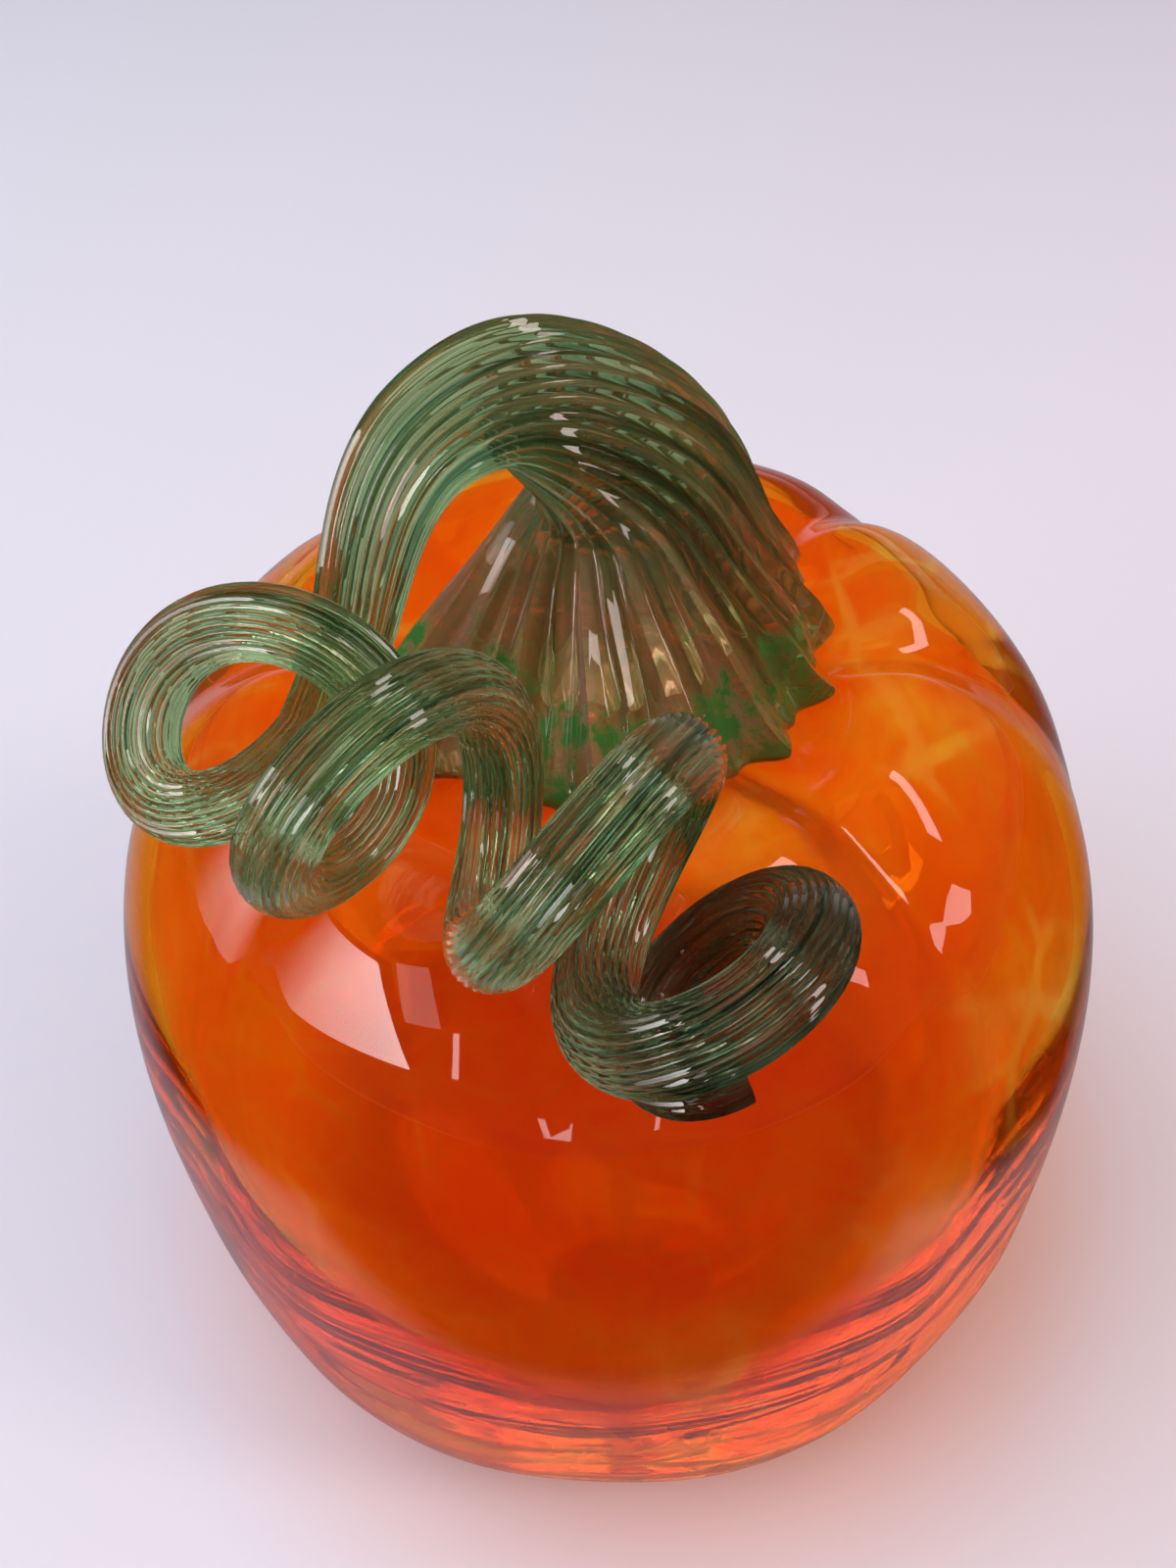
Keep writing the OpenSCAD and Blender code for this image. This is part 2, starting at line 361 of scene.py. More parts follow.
def curlPoint(angle):
    u = (angle - stem["rowAngle"]) / 360
    i = max(0, min(math.floor(u), len(turnRows) - 2))
    f = u - i
    a, b, c, d = (turnRow(i + k) for k in (-1, 0, 1, 2))
    row = b + f * (c - a) / 2 + f * f * (2 * a - 5 * b + 4 * c - d) / 2 + f ** 3 * (3 * b - a - 3 * c + d) / 2
    spot = domePoint(row[1]) + row[2] * domeNormal(row[1])
    centre = Vector((spot[0] * cosD(row[0]), spot[0] * sinD(row[0]), spot[1]))
    way = Vector((cosD(row[5]) * cosD(row[4]), cosD(row[5]) * sinD(row[4]), sinD(row[5])))
    side = Vector((-sinD(row[4]), cosD(row[4]), 0))
    return centre + row[3] * (cosD(angle) * side - sinD(angle) * way.cross(side))


def bezier(p, s):
    return (1 - s) ** 3 * p[0] + 3 * (1 - s) ** 2 * s * p[1] + 3 * (1 - s) * s * s * p[2] + s ** 3 * p[3]


def skirtShare(ring):  # 0 at the hem and below it, 1 from the throat on
    return min(max((ring - stem["skirtFrom"]) / stem["skirtRings"], 0), 1)


def skirtLean(ring):
    return Vector((*stem["throatLean"], 0)) * skirtShare(ring)


def skirtShift(ring):  # the skirt leans over to the throat and swells to one side halfway up
    return skirtLean(ring) + Vector((*stem["skirtBow"], 0)) * sinD(180 * skirtShare(ring)) ** 2


def tuckShare(turn):  # the skirt is drawn in at the back left, under the arch
    off = abs((turn - stem["tuckTurn"] + 180) % 360 - 180)
    return cosD(90 * off / stem["tuckSpread"]) if off < stem["tuckSpread"] else 0


def stemRings():  # centre, radius over the ribs, furrow and scallop shares, from the plug to the tip
    hemR, throatR, tendrilR = stem["hemWidth"] / 2, stem["throatWidth"] / 2, stem["tendrilWidth"] / 2
    plugR = shell["neckWidth"] / 2 - stem["plugGap"]
    low = seatZ - stem["fuse"]
    hemZ = topZ(hemR) + stem["drapeGap"]
    drapeR = mix(seatR, hemR, stem["drapeShare"])
    rings = [
        (Vector((0, 0, seatZ - shell["wall"])), plugR, 0, 0),
        (Vector((0, 0, low - stem["plugLip"])), plugR, 0, 0),
        (Vector((0, 0, low)), seatR, 0, 0),
        (Vector((0, 0, topZ(drapeR) - stem["fuse"])), drapeR, 0, stem["scallop"] / 2),
    ]
    for share, height in ((stem["hemUnder"], -stem["fuse"]), *stem["hemEdge"]):
        rings.append((Vector((0, 0, hemZ + height)), hemR * share, stem["hemFurrow"], stem["scallop"]))
    throat = Vector((*stem["throatLean"], seatZ + stem["throatHeight"]))
    top = Vector((*stem["archTop"], seatZ + stem["archHeight"]))
    for i in range(stem["skirtRings"]):
        share = i / stem["skirtRings"]
        rings.append((
            Vector((throat.x * share, throat.y * share, mix(hemZ + stem["hemThick"], throat.z, share))),
            mix(throatR, hemR, (1 - share) ** stem["flarePower"]),
            mix(stem["hemFurrow"], stem["throatFurrow"], share),
            stem["scallop"] * (1 - share) ** stem["scallopPower"],
        ))
    count = round(stem["curlTurns"] * stem["turnRings"])
    curl = [curlPoint(360 * i / stem["turnRings"]) for i in range(count + 1)]
    riseSpan = (
        throat, throat + Vector((0, 0, stem["throatHandle"])),
        top + Vector(stem["topHandleRight"]), top,
    )
    fallSpan = (
        top, top + Vector(stem["topHandleLeft"]),
        curl[0] - stem["curlHandle"] * (curl[1] - curl[0]).normalized(), curl[0],
    )
    steps = [i / stem["archRings"] for i in range(stem["archRings"])]
    arch = [bezier(span, step) for span in (riseSpan, fallSpan) for step in steps]
    for i, spot in enumerate(arch):
        rest = (1 - i / len(arch)) ** stem["taperPower"]
        furrow = mix(stem["tendrilFurrow"], stem["throatFurrow"], rest)
        rings.append((spot, mix(tendrilR, throatR, rest), furrow, 0))
    rings += [(spot, tendrilR, stem["tendrilFurrow"], 0) for spot in curl]
    first, archEnd = stem["skirtFrom"] + 1, len(rings) - len(curl)
    for _ in range(stem["throatBlend"]):  # the skirt's cone runs into the arch, and over its top, smoothly
        before = list(rings)
        for i in range(first, archEnd):
            near = [before[i - 1], before[i], before[i], before[i + 1]]
            centre = sum((ring[0] for ring in near), Vector()) / 4 if i > throatRing else before[i][0]
            rings[i] = (centre, sum(ring[1] for ring in near) / 4, *before[i][2:])
    return rings


def makeStem():
    rings = stemRings()
    sides = stem["tips"] * stem["tipSides"]
    deselectAll()
    bpy.ops.curve.primitive_bezier_circle_add(radius=1, location=(0, 0, 0))
    section = bpy.context.object
    section.data.splines.clear()
    ring = section.data.splines.new("POLY")
    ring.points.add(sides - 1)
    ring.use_cyclic_u = True
    for k, point in enumerate(ring.points):
        point.co = (cosD(360 * k / sides), sinD(360 * k / sides), 0, 1)
    deselectAll()
    bpy.ops.curve.primitive_nurbs_path_add(radius=1, location=(0, 0, 0))
    piece = bpy.context.object
    piece.name = piece.data.name = "pulledStem"
    path = piece.data
    path.splines.clear()
    rod = path.splines.new("POLY")
    rod.points.add(len(rings) - 1)
    pulled = len(rings) - 1 - throatRing
    for i, (point, (centre, r, *_)) in enumerate(zip(rod.points, rings)):
        point.co = (*((centre - skirtLean(i)) * mm), 1)  # the skirt's rings stay level
        point.radius = r * mm
        twist = stem["skirtTwist"] * skirtShare(i) + stem["ribTwist"] * max(i - throatRing, 0) / pulled
        point.tilt = math.radians(twist)  # twisted as it was pulled
    path.twist_mode = "MINIMUM"
    path.bevel_mode = "OBJECT"
    path.bevel_object = section
    path.use_fill_caps = True
    bpy.ops.object.convert(target="MESH")
    piece = bpy.context.object
    deselectAll()
    section.select_set(True)
    bpy.ops.object.delete()
    piece.select_set(True)
    bpy.context.view_layer.objects.active = piece
    # the mesh holds both end caps first, then ring after ring: sink the furrows between the ribs
    ringStart = len(piece.data.vertices) - sides * len(rings)
    rodPlace = piece.data.attributes.new("rodPlace", "FLOAT_VECTOR", "POINT")
    run = 0
    hemR = stem["hemWidth"] / 2
    for i, (centre, r, furrow, scallop) in enumerate(rings):
        run += (centre - rings[max(i - 1, 0)][0]).length
        middle = (centre - skirtLean(i)) * mm
        rest = 1 - skirtShare(i)
        for k in range(sides):
            index = ringStart + i * sides + k
            vertex = piece.data.vertices[index]
            t = k % stem["tipSides"] / stem["tipSides"]
            spoke = vertex.co - middle
            aim = math.degrees(math.atan2(spoke.y, spoke.x))
            tucked = tuckShare(aim) if rest and i >= stem["drapeFrom"] else 0
            dent = stem["scallop"] * math.sin(math.pi * t) ** stem["lobe"] * (1 - tucked)
            hemReach = hemR * (1 - dent - stem["tuck"] * tucked)
            if i == stem["drapeFrom"]:  # the underside follows the dimple out to the hem
                reach = mix(seatR, hemReach, stem["drapeShare"])
                vertex.co = middle + spoke * reach / r
                vertex.co.z = (topZ(reach) - stem["fuse"]) * mm
            else:
                rib = furrow * abs(math.sin(2 * math.pi * t)) ** stem["ribSharpness"]
                notch = scallop * math.sin(math.pi * t) ** stem["lobe"]
                sink = (rib + notch) * (1 - tucked * rest) + stem["tuck"] * tucked * rest
                vertex.co = middle + spoke * (1 - sink) + skirtShift(i) * mm
                if i > stem["drapeFrom"]:
                    vertex.co.z += (topZ(hemReach) - topZ(hemR)) * rest ** 2 * mm
            turn = 360 * k / sides
            rodPlace.data[index].vector = (
                stem["rodR"] * mm * cosD(turn), stem["rodR"] * mm * sinD(turn), run * mm)
    first, last = stem["flowFrom"], stem["flowTo"]
    ease = [min(1, (last - i) / stem["flowFade"]) / 4 for i in range(first, last)]
    for k in range(sides):  # the ribs flow round the bend at the throat without a crease
        line = [piece.data.vertices[ringStart + i * sides + k].co.copy() for i in range(first, last)]
        for _ in range(stem["flow"]):
            near = zip(line, line[1:], line[2:], ease[1:])
            line[1:-1] = [b + (a - 2 * b + c) * share for a, b, c, share in near]
        for i, spot in enumerate(line):
            piece.data.vertices[ringStart + (first + i) * sides + k].co = spot
    for start, ringIndex in ((0, len(rings) - 1), (sides, 0)):  # the caps follow their rings
        for k in range(sides):
            near = ringStart + ringIndex * sides + k
            piece.data.vertices[start + k].co = piece.data.vertices[near].co
            rodPlace.data[start + k].vector = rodPlace.data[near].vector
    seamEnd = ringStart + stem["seamRings"] * sides
    for face in piece.data.polygons:  # the faces that are fused to the body take the seam's glass
        low = all(sides <= v < 2 * sides or ringStart <= v < seamEnd for v in face.vertices)
        face.material_index = 1 if low else 0
    bpy.ops.object.mode_set(mode="EDIT")
    bpy.ops.mesh.select_all(action="SELECT")
    bpy.ops.mesh.remove_doubles(threshold=stem["mergeGap"] * mm)
    bpy.ops.mesh.normals_make_consistent(inside=False)
    bpy.ops.object.mode_set(mode="OBJECT")
    bpy.ops.object.shade_smooth_by_angle(angle=math.radians(stem["smoothAngle"]))
    return piece


# soda-lime glass over a cadmium orange core, blown and fire polished: clear, wet gloss,
# deeper where the wall is long to the eye, with smoky amber veils trapped in the colour
orangeGlass = {
    "deep": "FF9016",
    "middle": "FFA422",
    "veil": "FFCA4A",
    "depth": "FFC000",  # left of the light after a long way in the wall
    "density": 9,  # per metre
    "veilSize": 34,  # mm
    "cellSize": 24,
    "cellSpan": (0.35, 0.75),  # from the middle of a cell to its edge
    "cellVeil": 0.16,
    "webSize": 19,  # cells that have a lighter line round them: partly veins, partly painted light for caustic lines in the glass
    "webLine": 0.11,  # how wide, as a share of a cell
    "web": 0.42,
    "clear": 0.99,
    "veilClear": 0.92,
    "milkSpan": (0.6, 0.8),  # where the veils turn from clear to milky
    "crownClear": 0.9,  # the colour lies thicker towards the crown
    "crownSpan": (90, 150),  # heights
    "patchSize": 48,  # patches where the lines show
    "patchSpan": (0.48, 0.66),
    "swirlSize": 70,
    "swirl": 26,
    "shift": (70, 40, 20),  # moves the veils over the body
    "veilWay": (0.75, -0.25, -0.6),  # they lie thickest at the right and below
    "veilReach": 90,  # how far the other way they are thinnest
    "veilThin": -0.12,
    "veilThick": 0.02,
    "stops": (0.42, 0.58, 0.72),  # of the three colours
    "roughness": 0.015,
    "ior": 1.42,  # under soda-lime's 1.52, matched to how the real wall bends light
}


def makeOrangeGlass():
    material, tree = startMaterial("blown_orange_glass")
    place = addNode(tree, "ShaderNodeTexCoord")
    moved = addNode(tree, "ShaderNodeVectorMath", {
        0: place.outputs["Object"], 1: [part * mm for part in orangeGlass["shift"]]}, operation="ADD")
    swirl = addNode(tree, "ShaderNodeTexNoise", {
        "Vector": moved.outputs[0], "Scale": 1 / (orangeGlass["swirlSize"] * mm), "Detail": 2})
    push = addNode(tree, "ShaderNodeVectorMath", {
        0: swirl.outputs["Color"], 1: (0.5, 0.5, 0.5)}, operation="SUBTRACT")
    swirled = addNode(tree, "ShaderNodeVectorMath", {
        0: push.outputs[0], 1: [orangeGlass["swirl"] * mm] * 3, 2: moved.outputs[0]},
        operation="MULTIPLY_ADD")
    veil = addNode(tree, "ShaderNodeTexNoise", {
        "Vector": swirled.outputs[0], "Scale": 1 / (orangeGlass["veilSize"] * mm),
        "Detail": 6, "Roughness": 0.62, "Distortion": 0.6})
    cells = addNode(tree, "ShaderNodeTexVoronoi", {
        "Vector": swirled.outputs[0], "Scale": 1 / (orangeGlass["cellSize"] * mm)}, feature="SMOOTH_F1")
    net = addNode(tree, "ShaderNodeMapRange", {
        "Value": cells.outputs["Distance"], "From Min": orangeGlass["cellSpan"][0],
        "From Max": orangeGlass["cellSpan"][1], "To Max": orangeGlass["cellVeil"]})
    # partly painted light: the lighter lines round the cells stand for veins and for caustic lines of light
    edges = addNode(tree, "ShaderNodeTexVoronoi", {
        "Vector": swirled.outputs[0], "Scale": 1 / (orangeGlass["webSize"] * mm)}, feature="DISTANCE_TO_EDGE")
    web = addNode(tree, "ShaderNodeMapRange", {
        "Value": edges.outputs["Distance"], "From Max": orangeGlass["webLine"], "To Min": 1, "To Max": 0},
        interpolation_type="SMOOTHSTEP")
    patch = addNode(tree, "ShaderNodeTexNoise", {
        "Vector": moved.outputs[0], "Scale": 1 / (orangeGlass["patchSize"] * mm), "Detail": 3})
    shown = addNode(tree, "ShaderNodeMapRange", {
        "Value": patch.outputs["Fac"], "From Min": orangeGlass["patchSpan"][0],
        "From Max": orangeGlass["patchSpan"][1], "To Max": orangeGlass["web"]})
    drawn = addNode(tree, "ShaderNodeMath", {0: web.outputs[0], 1: shown.outputs[0]}, operation="MULTIPLY")
    clouds = addNode(tree, "ShaderNodeMath", {0: veil.outputs["Fac"], 1: net.outputs[0]}, operation="ADD")
    lean = addNode(tree, "ShaderNodeVectorMath", {
        0: place.outputs["Object"], 1: orangeGlass["veilWay"]}, operation="DOT_PRODUCT")
    share = addNode(tree, "ShaderNodeMapRange", {
        "Value": lean.outputs["Value"], "From Min": -orangeGlass["veilReach"] * mm, "From Max": 0,
        "To Min": orangeGlass["veilThin"], "To Max": orangeGlass["veilThick"]})
    smoke = addNode(tree, "ShaderNodeMath", {0: clouds.outputs[0], 1: share.outputs[0]}, operation="ADD")
    cloud = addNode(tree, "ShaderNodeMath", {0: smoke.outputs[0], 1: drawn.outputs[0]}, operation="ADD")
    colour = addNode(tree, "ShaderNodeValToRGB", {"Fac": cloud.outputs[0]})
    setRamp(colour, zip(orangeGlass["stops"], [orangeGlass[tone] for tone in ("deep", "middle", "veil")]))
    milk = addNode(tree, "ShaderNodeMapRange", {
        "Value": cloud.outputs[0], "From Min": orangeGlass["milkSpan"][0],
        "From Max": orangeGlass["milkSpan"][1], "To Min": orangeGlass["clear"],
        "To Max": orangeGlass["veilClear"]})
    split = addNode(tree, "ShaderNodeSeparateXYZ", {"Vector": place.outputs["Object"]})
    high = addNode(tree, "ShaderNodeMapRange", {
        "Value": split.outputs["Z"], "From Min": orangeGlass["crownSpan"][0] * mm,
        "From Max": orangeGlass["crownSpan"][1] * mm, "To Min": 1,
        "To Max": orangeGlass["crownClear"]}, interpolation_type="SMOOTHSTEP")
    clear = addNode(tree, "ShaderNodeMath", {0: milk.outputs[0], 1: high.outputs[0]}, operation="MULTIPLY")
    glass = addNode(tree, "ShaderNodeBsdfPrincipled", {
        "Base Color": colour.outputs["Color"], "Roughness": orangeGlass["roughness"],
        "IOR": orangeGlass["ior"], "Transmission Weight": clear.outputs[0]})
    depth = addNode(tree, "ShaderNodeVolumeAbsorption", {
        "Color": linear(orangeGlass["depth"]), "Density": orangeGlass["density"]})
    addNode(tree, "ShaderNodeOutputMaterial", {"Surface": glass.outputs[0], "Volume": depth.outputs[0]})
    return material


# clear gather rolled in green glass powder and pulled: the powder is drawn out into fine green
# streaks along the ribs with clear glass between them, clots of it stay whole on the skirt,
# and the tip, which cooled last, is smoky
greenGlass = {
    "dark": "3E6A46",
    "middle": "94BA82",
    "clear": "DCCC9C",
    "brown": "8C8442",  # the skirt, where the powder lies thick and the orange shows through
    "tan": "DC9E62",
    "pink": "FFC8A2",
    "smoke": "60323A",
    "clot": "4A8A3C",
    "streakWidth": 2,  # mm
    "streakLength": 120,
    "stops": (0.35, 0.5, 0.66),  # of dark, middle and clear
    "skirtStops": (0.36, 0.5, 0.66),  # of brown, tan and pink
    "clotSize": 13,
    "clotShift": (18, 4, 0),
    "clotRun": (10, 34),  # along the rod, in mm: the clots thin out from the hem upwards
    "clotMore": 0.18,
    "clotLess": -0.1,
    "clotSpan": (0.56, 0.68),  # their soft edge
    "skirtRun": (20, 44),  # where the skirt's tones give way to green
    "tendrilRun": 105.6,  # where the glass is as clear as it gets
    "smokeRun": (345, 480),  # where the tip turns smoky
    "smokeShare": 0.85,
    "skirtClear": 0.76,
    "archClear": 0.76,
    "tendrilClear": 0.96,
    "clotClear": 0.4,
    "roughness": 0.02,
    "ior": 1.5,
}


def makeGreenGlass():
    material, tree = startMaterial("pulled_green_glass")
    rod = addNode(tree, "ShaderNodeAttribute", attribute_name="rodPlace")
    run = addNode(tree, "ShaderNodeSeparateXYZ", {"Vector": rod.outputs["Vector"]})
    pulled = addNode(tree, "ShaderNodeMapping", {
        "Vector": rod.outputs["Vector"],
        "Scale": (1, 1, greenGlass["streakWidth"] / greenGlass["streakLength"])})
    streak = addNode(tree, "ShaderNodeTexNoise", {
        "Vector": pulled.outputs[0], "Scale": 1 / (greenGlass["streakWidth"] * mm),
        "Detail": 4, "Roughness": 0.6})
    colour = addNode(tree, "ShaderNodeValToRGB", {"Fac": streak.outputs["Fac"]})
    setRamp(colour, zip(greenGlass["stops"], [greenGlass[tone] for tone in ("dark", "middle", "clear")]))
    warm = addNode(tree, "ShaderNodeValToRGB", {"Fac": streak.outputs["Fac"]})
    setRamp(warm, zip(greenGlass["skirtStops"], [greenGlass[tone] for tone in ("brown", "tan", "pink")]))
    skirt = addNode(tree, "ShaderNodeMapRange", {
        "Value": run.outputs["Z"], "From Min": greenGlass["skirtRun"][0] * mm,
        "From Max": greenGlass["skirtRun"][1] * mm, "To Min": 1, "To Max": 0},
        interpolation_type="SMOOTHSTEP")
    streaked = addNode(tree, "ShaderNodeMix", {
        0: skirt.outputs[0], 6: colour.outputs["Color"], 7: warm.outputs["Color"]}, data_type="RGBA")
    tip = addNode(tree, "ShaderNodeMapRange", {
        "Value": run.outputs["Z"], "From Min": greenGlass["smokeRun"][0] * mm,
        "From Max": greenGlass["smokeRun"][1] * mm, "To Max": greenGlass["smokeShare"]})
    smoky = addNode(tree, "ShaderNodeMix", {
        0: tip.outputs[0], 6: streaked.outputs[2], 7: linear(greenGlass["smoke"])},
        data_type="RGBA", blend_type="MULTIPLY")
    place = addNode(tree, "ShaderNodeTexCoord")
    moved = addNode(tree, "ShaderNodeVectorMath", {
        0: place.outputs["Object"], 1: [part * mm for part in greenGlass["clotShift"]]}, operation="ADD")
    lump = addNode(tree, "ShaderNodeTexNoise", {
        "Vector": moved.outputs[0], "Scale": 1 / (greenGlass["clotSize"] * mm), "Detail": 5,
        "Roughness": 0.7, "Distortion": 0.4})
    low = addNode(tree, "ShaderNodeMapRange", {
        "Value": run.outputs["Z"], "From Min": greenGlass["clotRun"][0] * mm,
        "From Max": greenGlass["clotRun"][1] * mm, "To Min": greenGlass["clotMore"],
        "To Max": greenGlass["clotLess"]})
    lumpy = addNode(tree, "ShaderNodeMath", {0: lump.outputs["Fac"], 1: low.outputs[0]}, operation="ADD")
    clot = addNode(tree, "ShaderNodeMapRange", {
        "Value": lumpy.outputs[0], "From Min": greenGlass["clotSpan"][0],
        "From Max": greenGlass["clotSpan"][1]})
    coloured = addNode(tree, "ShaderNodeMix", {
        0: clot.outputs[0], 6: smoky.outputs[2], 7: linear(greenGlass["clot"])}, data_type="RGBA")
    thin = addNode(tree, "ShaderNodeMapRange", {
        "Value": run.outputs["Z"], "From Min": greenGlass["skirtRun"][1] * mm,
        "From Max": greenGlass["tendrilRun"] * mm, "To Min": greenGlass["archClear"],
        "To Max": greenGlass["tendrilClear"]})
    clear = addNode(tree, "ShaderNodeMix", {
        0: skirt.outputs[0], 2: thin.outputs[0], 3: greenGlass["skirtClear"]})
    clearest = addNode(tree, "ShaderNodeMix", {
        0: clot.outputs[0], 2: clear.outputs[0], 3: greenGlass["clotClear"]})
    glass = addNode(tree, "ShaderNodeBsdfPrincipled", {
        "Base Color": coloured.outputs[2], "Roughness": greenGlass["roughness"],
        "IOR": greenGlass["ior"], "Transmission Weight": clearest.outputs[0]})
    addNode(tree, "ShaderNodeOutputMaterial", {"Surface": glass.outputs[0]})
    return material


# where the stem was fused to the body there is no air between them, so light goes straight through
def makeSeamGlass():
    material, tree = startMaterial("fused_glass_seam")
    glass = addNode(tree, "ShaderNodeBsdfPrincipled", {
        "Base Color": linear("FFFFFF"), "Roughness": 0, "IOR": 1, "Transmission Weight": 1})
    addNode(tree, "ShaderNodeOutputMaterial", {"Surface": glass.outputs[0]})
    return material


body = makeBody()
print("body:", len(body.data.polygons), "faces")
stalk = makeStem()
print("stem:", len(stalk.data.polygons), "faces")
for piece, node, slot in ((body, "body", "orange_glass"), (stalk, "stem", "green_glass")):
    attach(piece, "root")
    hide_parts(node)

# the photo's view: place in mm, and the directions to its right, its top and the viewer
viewer = {
    "lens": 31.5,
    "sensor": 36,
    "place": (-2.44, -162.94, 292.32),
    "right": (0.9986, -0.0383, -0.0357),
    "top": (0.0523, 0.7304, 0.6811),
    "back": (0, -0.682, 0.7314),
}


def makeCamera():
    data = bpy.data.cameras.new("camera")
    data.lens = viewer["lens"]
    data.sensor_width = viewer["sensor"]
    camera = bpy.data.objects.new("camera", data)
    bpy.context.scene.collection.objects.link(camera)
    turned = Matrix([viewer[way] for way in ("right", "top", "back")]).transposed().to_4x4()
    camera.matrix_world = Matrix.Translation(Vector(viewer["place"]) * mm) @ turned
    bpy.context.scene.camera = camera


makeCamera()
body.data.materials.clear()
body.data.materials.append(makeOrangeGlass())
stalk.data.materials.clear()
stalk.data.materials.append(makeGreenGlass())
stalk.data.materials.append(makeSeamGlass())
print("glass:", [material.name for material in (*body.data.materials, *stalk.data.materials)])

# stage: a pale sheet of paper under the object, in a darker room; millimetres where nothing else is said
stage = {
    "floorSize": 6,  # metres
    "paper": "EFEBF0",
    "paintedGlow": "F0DAD8",  # painted light: pink painted into the paper round the foot, for light that has come through the orange glass
    "paintedGlowSpan": (84, 122),
    "fadeSpan": (1000, 2400),  # where the floor fades into the backdrop for the camera
    "grain": 2,
    "grainDepth": 0.02,
    "roughness": 0.6,
    "shine": 0.2,
    "floorDrop": 0.3,  # keeps the floor clear of the base
    "guided": 0.12,  # stands in for light that the glass wall gathers and guides to the foot
    "guidedBounces": (5, 9),  # it is seen only by rays that the wall has turned back this often
    "gathered": "FF9468",
    "backdrop": "DAD5DE",  # what the camera and the clear glass see past the floor
    "horizon": "34323A",  # the room, seen only in reflections
    "zenith": "1C1B20",
    "zenithFrom": 0.5,
    "mirrorWay": (0.72, 0.96),  # the glass mirrors the backdrop straight behind it only,
    "mirrorRise": 0.25,  # up to this height of a direction
    "cardWidth": 2900,
    "cardHole": 56,  # clear of the foot
    "cardHeight": 0.5,
    "cardSides": 64,
    "cardDark": "0C0B0E",
    "cardNear": 0.52,  # how much the card's painted shade dims the mirrored paper close by; further out it covers all of it
    "paperLeft": -168,  # the sheet of paper, as the glass mirrors it
    "paperRight": 134,
    "paperFront": -123,
    "paperRear": 3000,
    "paperEdge": 16,
    "paperTurn": -30,  # from here to the back it grows wider, and its edge softer
    "paperSpread": 0.5,
    "paperSoft": 0.5,
    "bounces": 32,  # light goes round in a thick wall for long
}


def makeFloor():
    deselectAll()
    bpy.ops.mesh.primitive_plane_add(size=stage["floorSize"], location=(0, 0, -stage["floorDrop"] * mm))
    floor = bpy.context.object
    floor.name = "floor"
    material, tree = startMaterial("pale_paper")
    place = addNode(tree, "ShaderNodeTexCoord")
    grain = addNode(tree, "ShaderNodeTexNoise", {
        "Vector": place.outputs["Object"], "Scale": 1 / (stage["grain"] * mm), "Detail": 3})
    bump = addNode(tree, "ShaderNodeBump", {
        "Height": grain.outputs["Fac"], "Strength": stage["grainDepth"], "Distance": mm})
    away = addNode(tree, "ShaderNodeVectorMath", {0: place.outputs["Object"]}, operation="LENGTH")
    # painted light: the paper's colour turns pink close round the foot, where the orange glass throws its
    # light
    near = addNode(tree, "ShaderNodeMapRange", {
        "Value": away.outputs["Value"], "From Min": stage["paintedGlowSpan"][0] * mm,
        "From Max": stage["paintedGlowSpan"][1] * mm, "To Min": 1, "To Max": 0}, interpolation_type="SMOOTHSTEP")
    paperWithPaintedGlow = addNode(tree, "ShaderNodeMix", {
        0: near.outputs[0], 6: linear(stage["paper"]), 7: linear(stage["paintedGlow"])}, data_type="RGBA")
    ray = addNode(tree, "ShaderNodeLightPath")
    guided = addNode(tree, "ShaderNodeMapRange", {
        "Value": ray.outputs["Ray Depth"], "From Min": stage["guidedBounces"][0],
        "From Max": stage["guidedBounces"][1], "To Max": stage["guided"]})
    gathered = addNode(tree, "ShaderNodeMath", {
        0: guided.outputs[0], 1: ray.outputs["Is Transmission Ray"]}, operation="MULTIPLY")
    paper = addNode(tree, "ShaderNodeBsdfPrincipled", {
        "Base Color": paperWithPaintedGlow.outputs[2], "Roughness": stage["roughness"],
        "Specular IOR Level": stage["shine"], "Normal": bump.outputs["Normal"],
        "Emission Color": linear(stage["gathered"]), "Emission Strength": gathered.outputs[0]})
    far = addNode(tree, "ShaderNodeMapRange", {
        "Value": away.outputs["Value"], "From Min": stage["fadeSpan"][0] * mm,
        "From Max": stage["fadeSpan"][1] * mm}, interpolation_type="SMOOTHSTEP")
    seen = addNode(tree, "ShaderNodeMath", {
        0: far.outputs[0], 1: ray.outputs["Is Camera Ray"]}, operation="MULTIPLY")
    horizon = addNode(tree, "ShaderNodeEmission", {"Color": linear(stage["backdrop"]), "Strength": 1})
    both = addNode(tree, "ShaderNodeMixShader", {
        0: seen.outputs[0], 1: paper.outputs[0], 2: horizon.outputs[0]})
    addNode(tree, "ShaderNodeOutputMaterial", {"Surface": both.outputs[0]})
    floor.data.materials.append(material)


